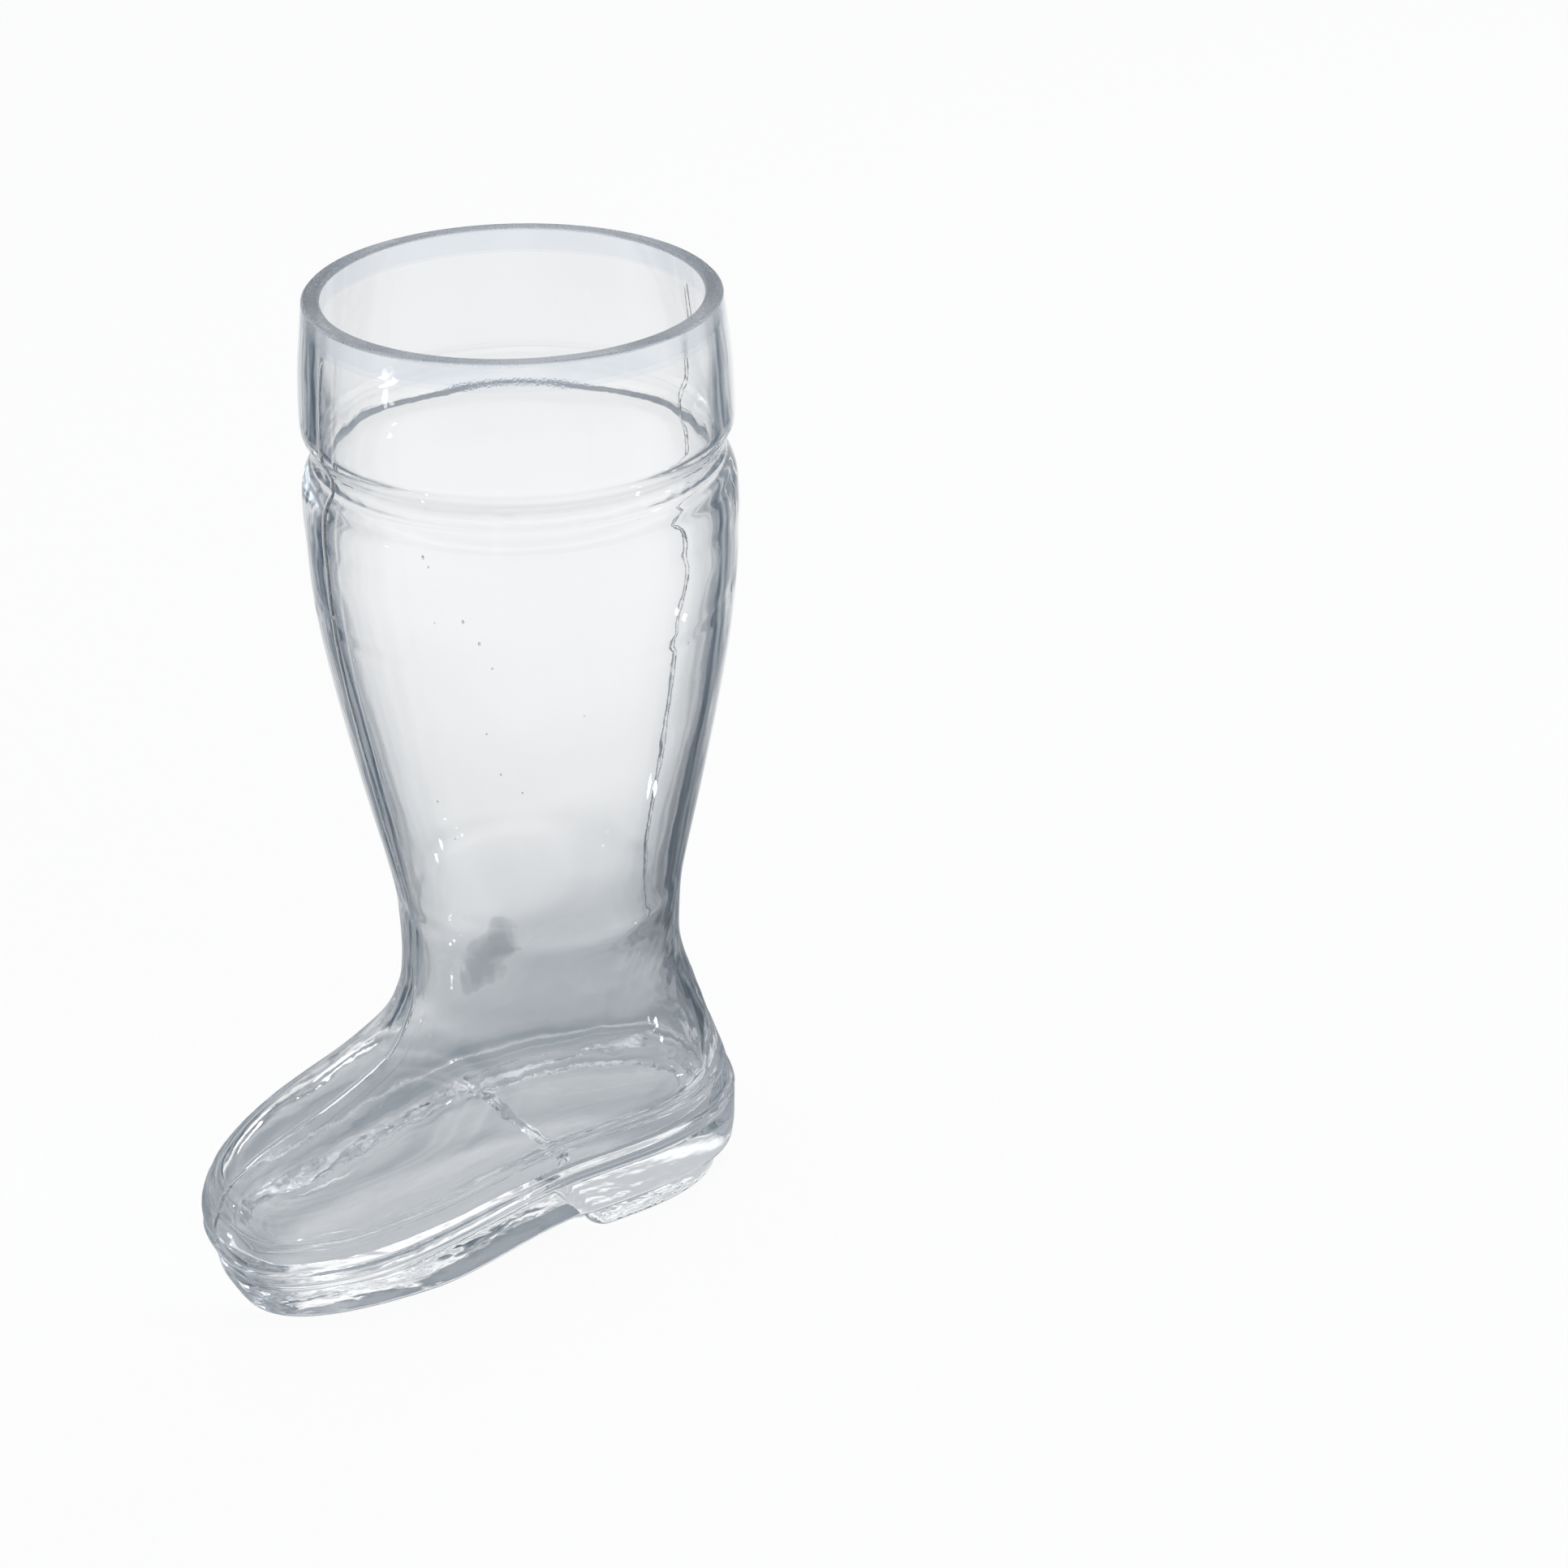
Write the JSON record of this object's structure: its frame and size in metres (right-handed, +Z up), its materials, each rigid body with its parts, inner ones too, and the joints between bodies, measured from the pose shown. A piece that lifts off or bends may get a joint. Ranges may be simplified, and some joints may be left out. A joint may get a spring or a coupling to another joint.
{
  "type": "beer boot glass",
  "caption": "Clear moulded glass drinking boot with a flared cuff, a tapering leg, a hollow foot, a welted sole and a low heel.",
  "frame": {"origin": "on the table, on the mirror plane, midway between the toe tip and the back of the heel", "axes": "+Z up along the leg, -X towards the toe, +Y across the foot"},
  "size_m": [0.1414, 0.0984, 0.235],
  "materials": {
    "clear_glass": "clear moulded soda-lime glass, fire polished, with faint waves and bubbles",
    "ground_glass": "flat ground and fire polished rim"
  },
  "bodies": {
    "root": {"rim": "ground_glass", "cuff": "clear_glass", "collar_groove": "clear_glass", "shoulder": "clear_glass", "leg": "clear_glass", "ankle": "clear_glass", "heel_counter": "clear_glass", "vamp": "clear_glass", "toe_cap": "clear_glass", "welt": "clear_glass", "sole": "clear_glass", "heel_block": "clear_glass", "heel_tap": "clear_glass", "front_seam": "clear_glass", "back_seam": "clear_glass"}
  },
  "joints": []
}
